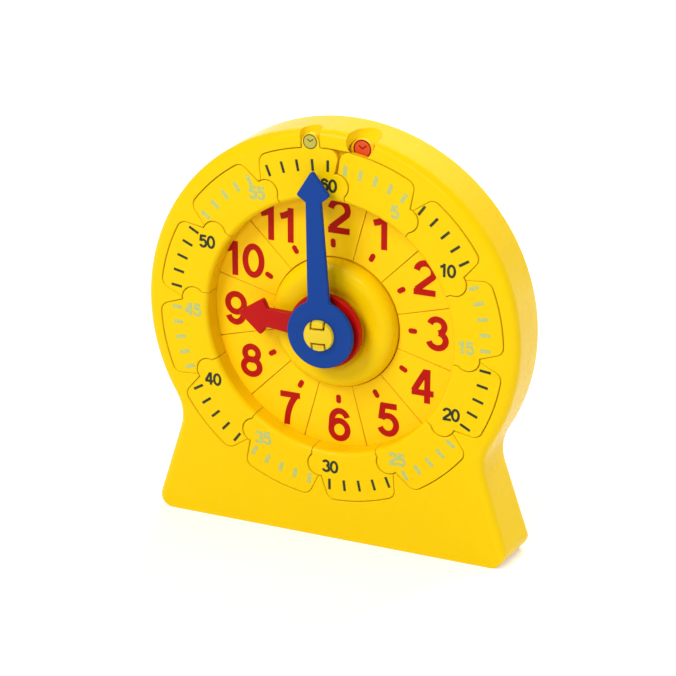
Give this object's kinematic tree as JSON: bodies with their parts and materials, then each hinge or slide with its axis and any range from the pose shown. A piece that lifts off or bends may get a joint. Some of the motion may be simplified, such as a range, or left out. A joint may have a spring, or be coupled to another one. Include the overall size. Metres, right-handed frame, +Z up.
{
  "type": "geared teaching clock",
  "caption": "Free-standing toy clock with a round head and flared foot, lift-out chains of minute links and hour tiles, and two geared hands.",
  "frame": {"origin": "middle of the flat foot that the case stands on", "axes": "+Z up the case, +Y from the dial to the back, so the dial faces -Y and +X is at the 3"},
  "size_m": [0.1384, 0.0289, 0.1487],
  "materials": {
    "case_yellow": "satin-gloss moulded ABS, fine spark texture on the face",
    "link_yellow": "satin-gloss moulded ABS",
    "tile_yellow": "satin-gloss moulded ABS, a little deeper in colour",
    "arbor_yellow": "gloss moulded acetal",
    "hand_blue": "satin moulded plastic",
    "hand_red": "satin moulded plastic",
    "gear_white": "natural moulded acetal",
    "screw_steel": "zinc plated"
  },
  "bodies": {
    "case": {"front_case": "case_yellow", "rear_cover": "case_yellow", "case_screws": "screw_steel"},
    "minute_works": {"minute_arbor": "arbor_yellow", "minute_hand": "hand_blue"},
    "hour_works": {"hour_wheel": "gear_white", "hour_hand": "hand_red"},
    "idler": {"idler_gear": "gear_white"},
    "hour_line": {"hour_tile_01": "tile_yellow", "hour_tile_02": "tile_yellow", "hour_tile_03": "tile_yellow", "hour_tile_04": "tile_yellow", "hour_tile_05": "tile_yellow", "hour_tile_06": "tile_yellow", "hour_tile_07": "tile_yellow", "hour_tile_08": "tile_yellow", "hour_tile_09": "tile_yellow", "hour_tile_10": "tile_yellow", "hour_tile_11": "tile_yellow", "hour_tile_12": "tile_yellow"},
    "minute_line": {"minute_link_05": "link_yellow", "minute_link_10": "link_yellow", "minute_link_15": "link_yellow", "minute_link_20": "link_yellow", "minute_link_25": "link_yellow", "minute_link_30": "link_yellow", "minute_link_35": "link_yellow", "minute_link_40": "link_yellow", "minute_link_45": "link_yellow", "minute_link_50": "link_yellow", "minute_link_55": "link_yellow", "minute_link_60": "link_yellow"}
  },
  "joints": [
    {"name": "minute_spin", "type": "hinge", "parent": "case", "child": "minute_works", "pos_m": [0, 0, 0.07865], "axis": [0, 1, 0], "continuous": true},
    {"name": "hour_spin", "type": "hinge", "parent": "case", "child": "hour_works", "pos_m": [0, 0, 0.07865], "axis": [0, 1, 0], "continuous": true},
    {"name": "idler_spin", "type": "hinge", "parent": "case", "child": "idler", "pos_m": [0, 0, 0.05265], "axis": [0, 1, 0], "continuous": true},
    {"name": "hour_line_lift", "type": "slide", "parent": "case", "child": "hour_line", "axis": [0, -1, 0], "range_m": [0, 0.0014]},
    {"name": "minute_line_lift", "type": "slide", "parent": "hour_line", "child": "minute_line", "axis": [0, -1, 0], "range_m": [0, 0.0028]}
  ],
  "couplings": [
    {"joint": "hour_spin", "follows": "minute_spin", "ratio": 0.083333},
    {"joint": "idler_spin", "follows": "minute_spin", "ratio": -0.33333}
  ]
}
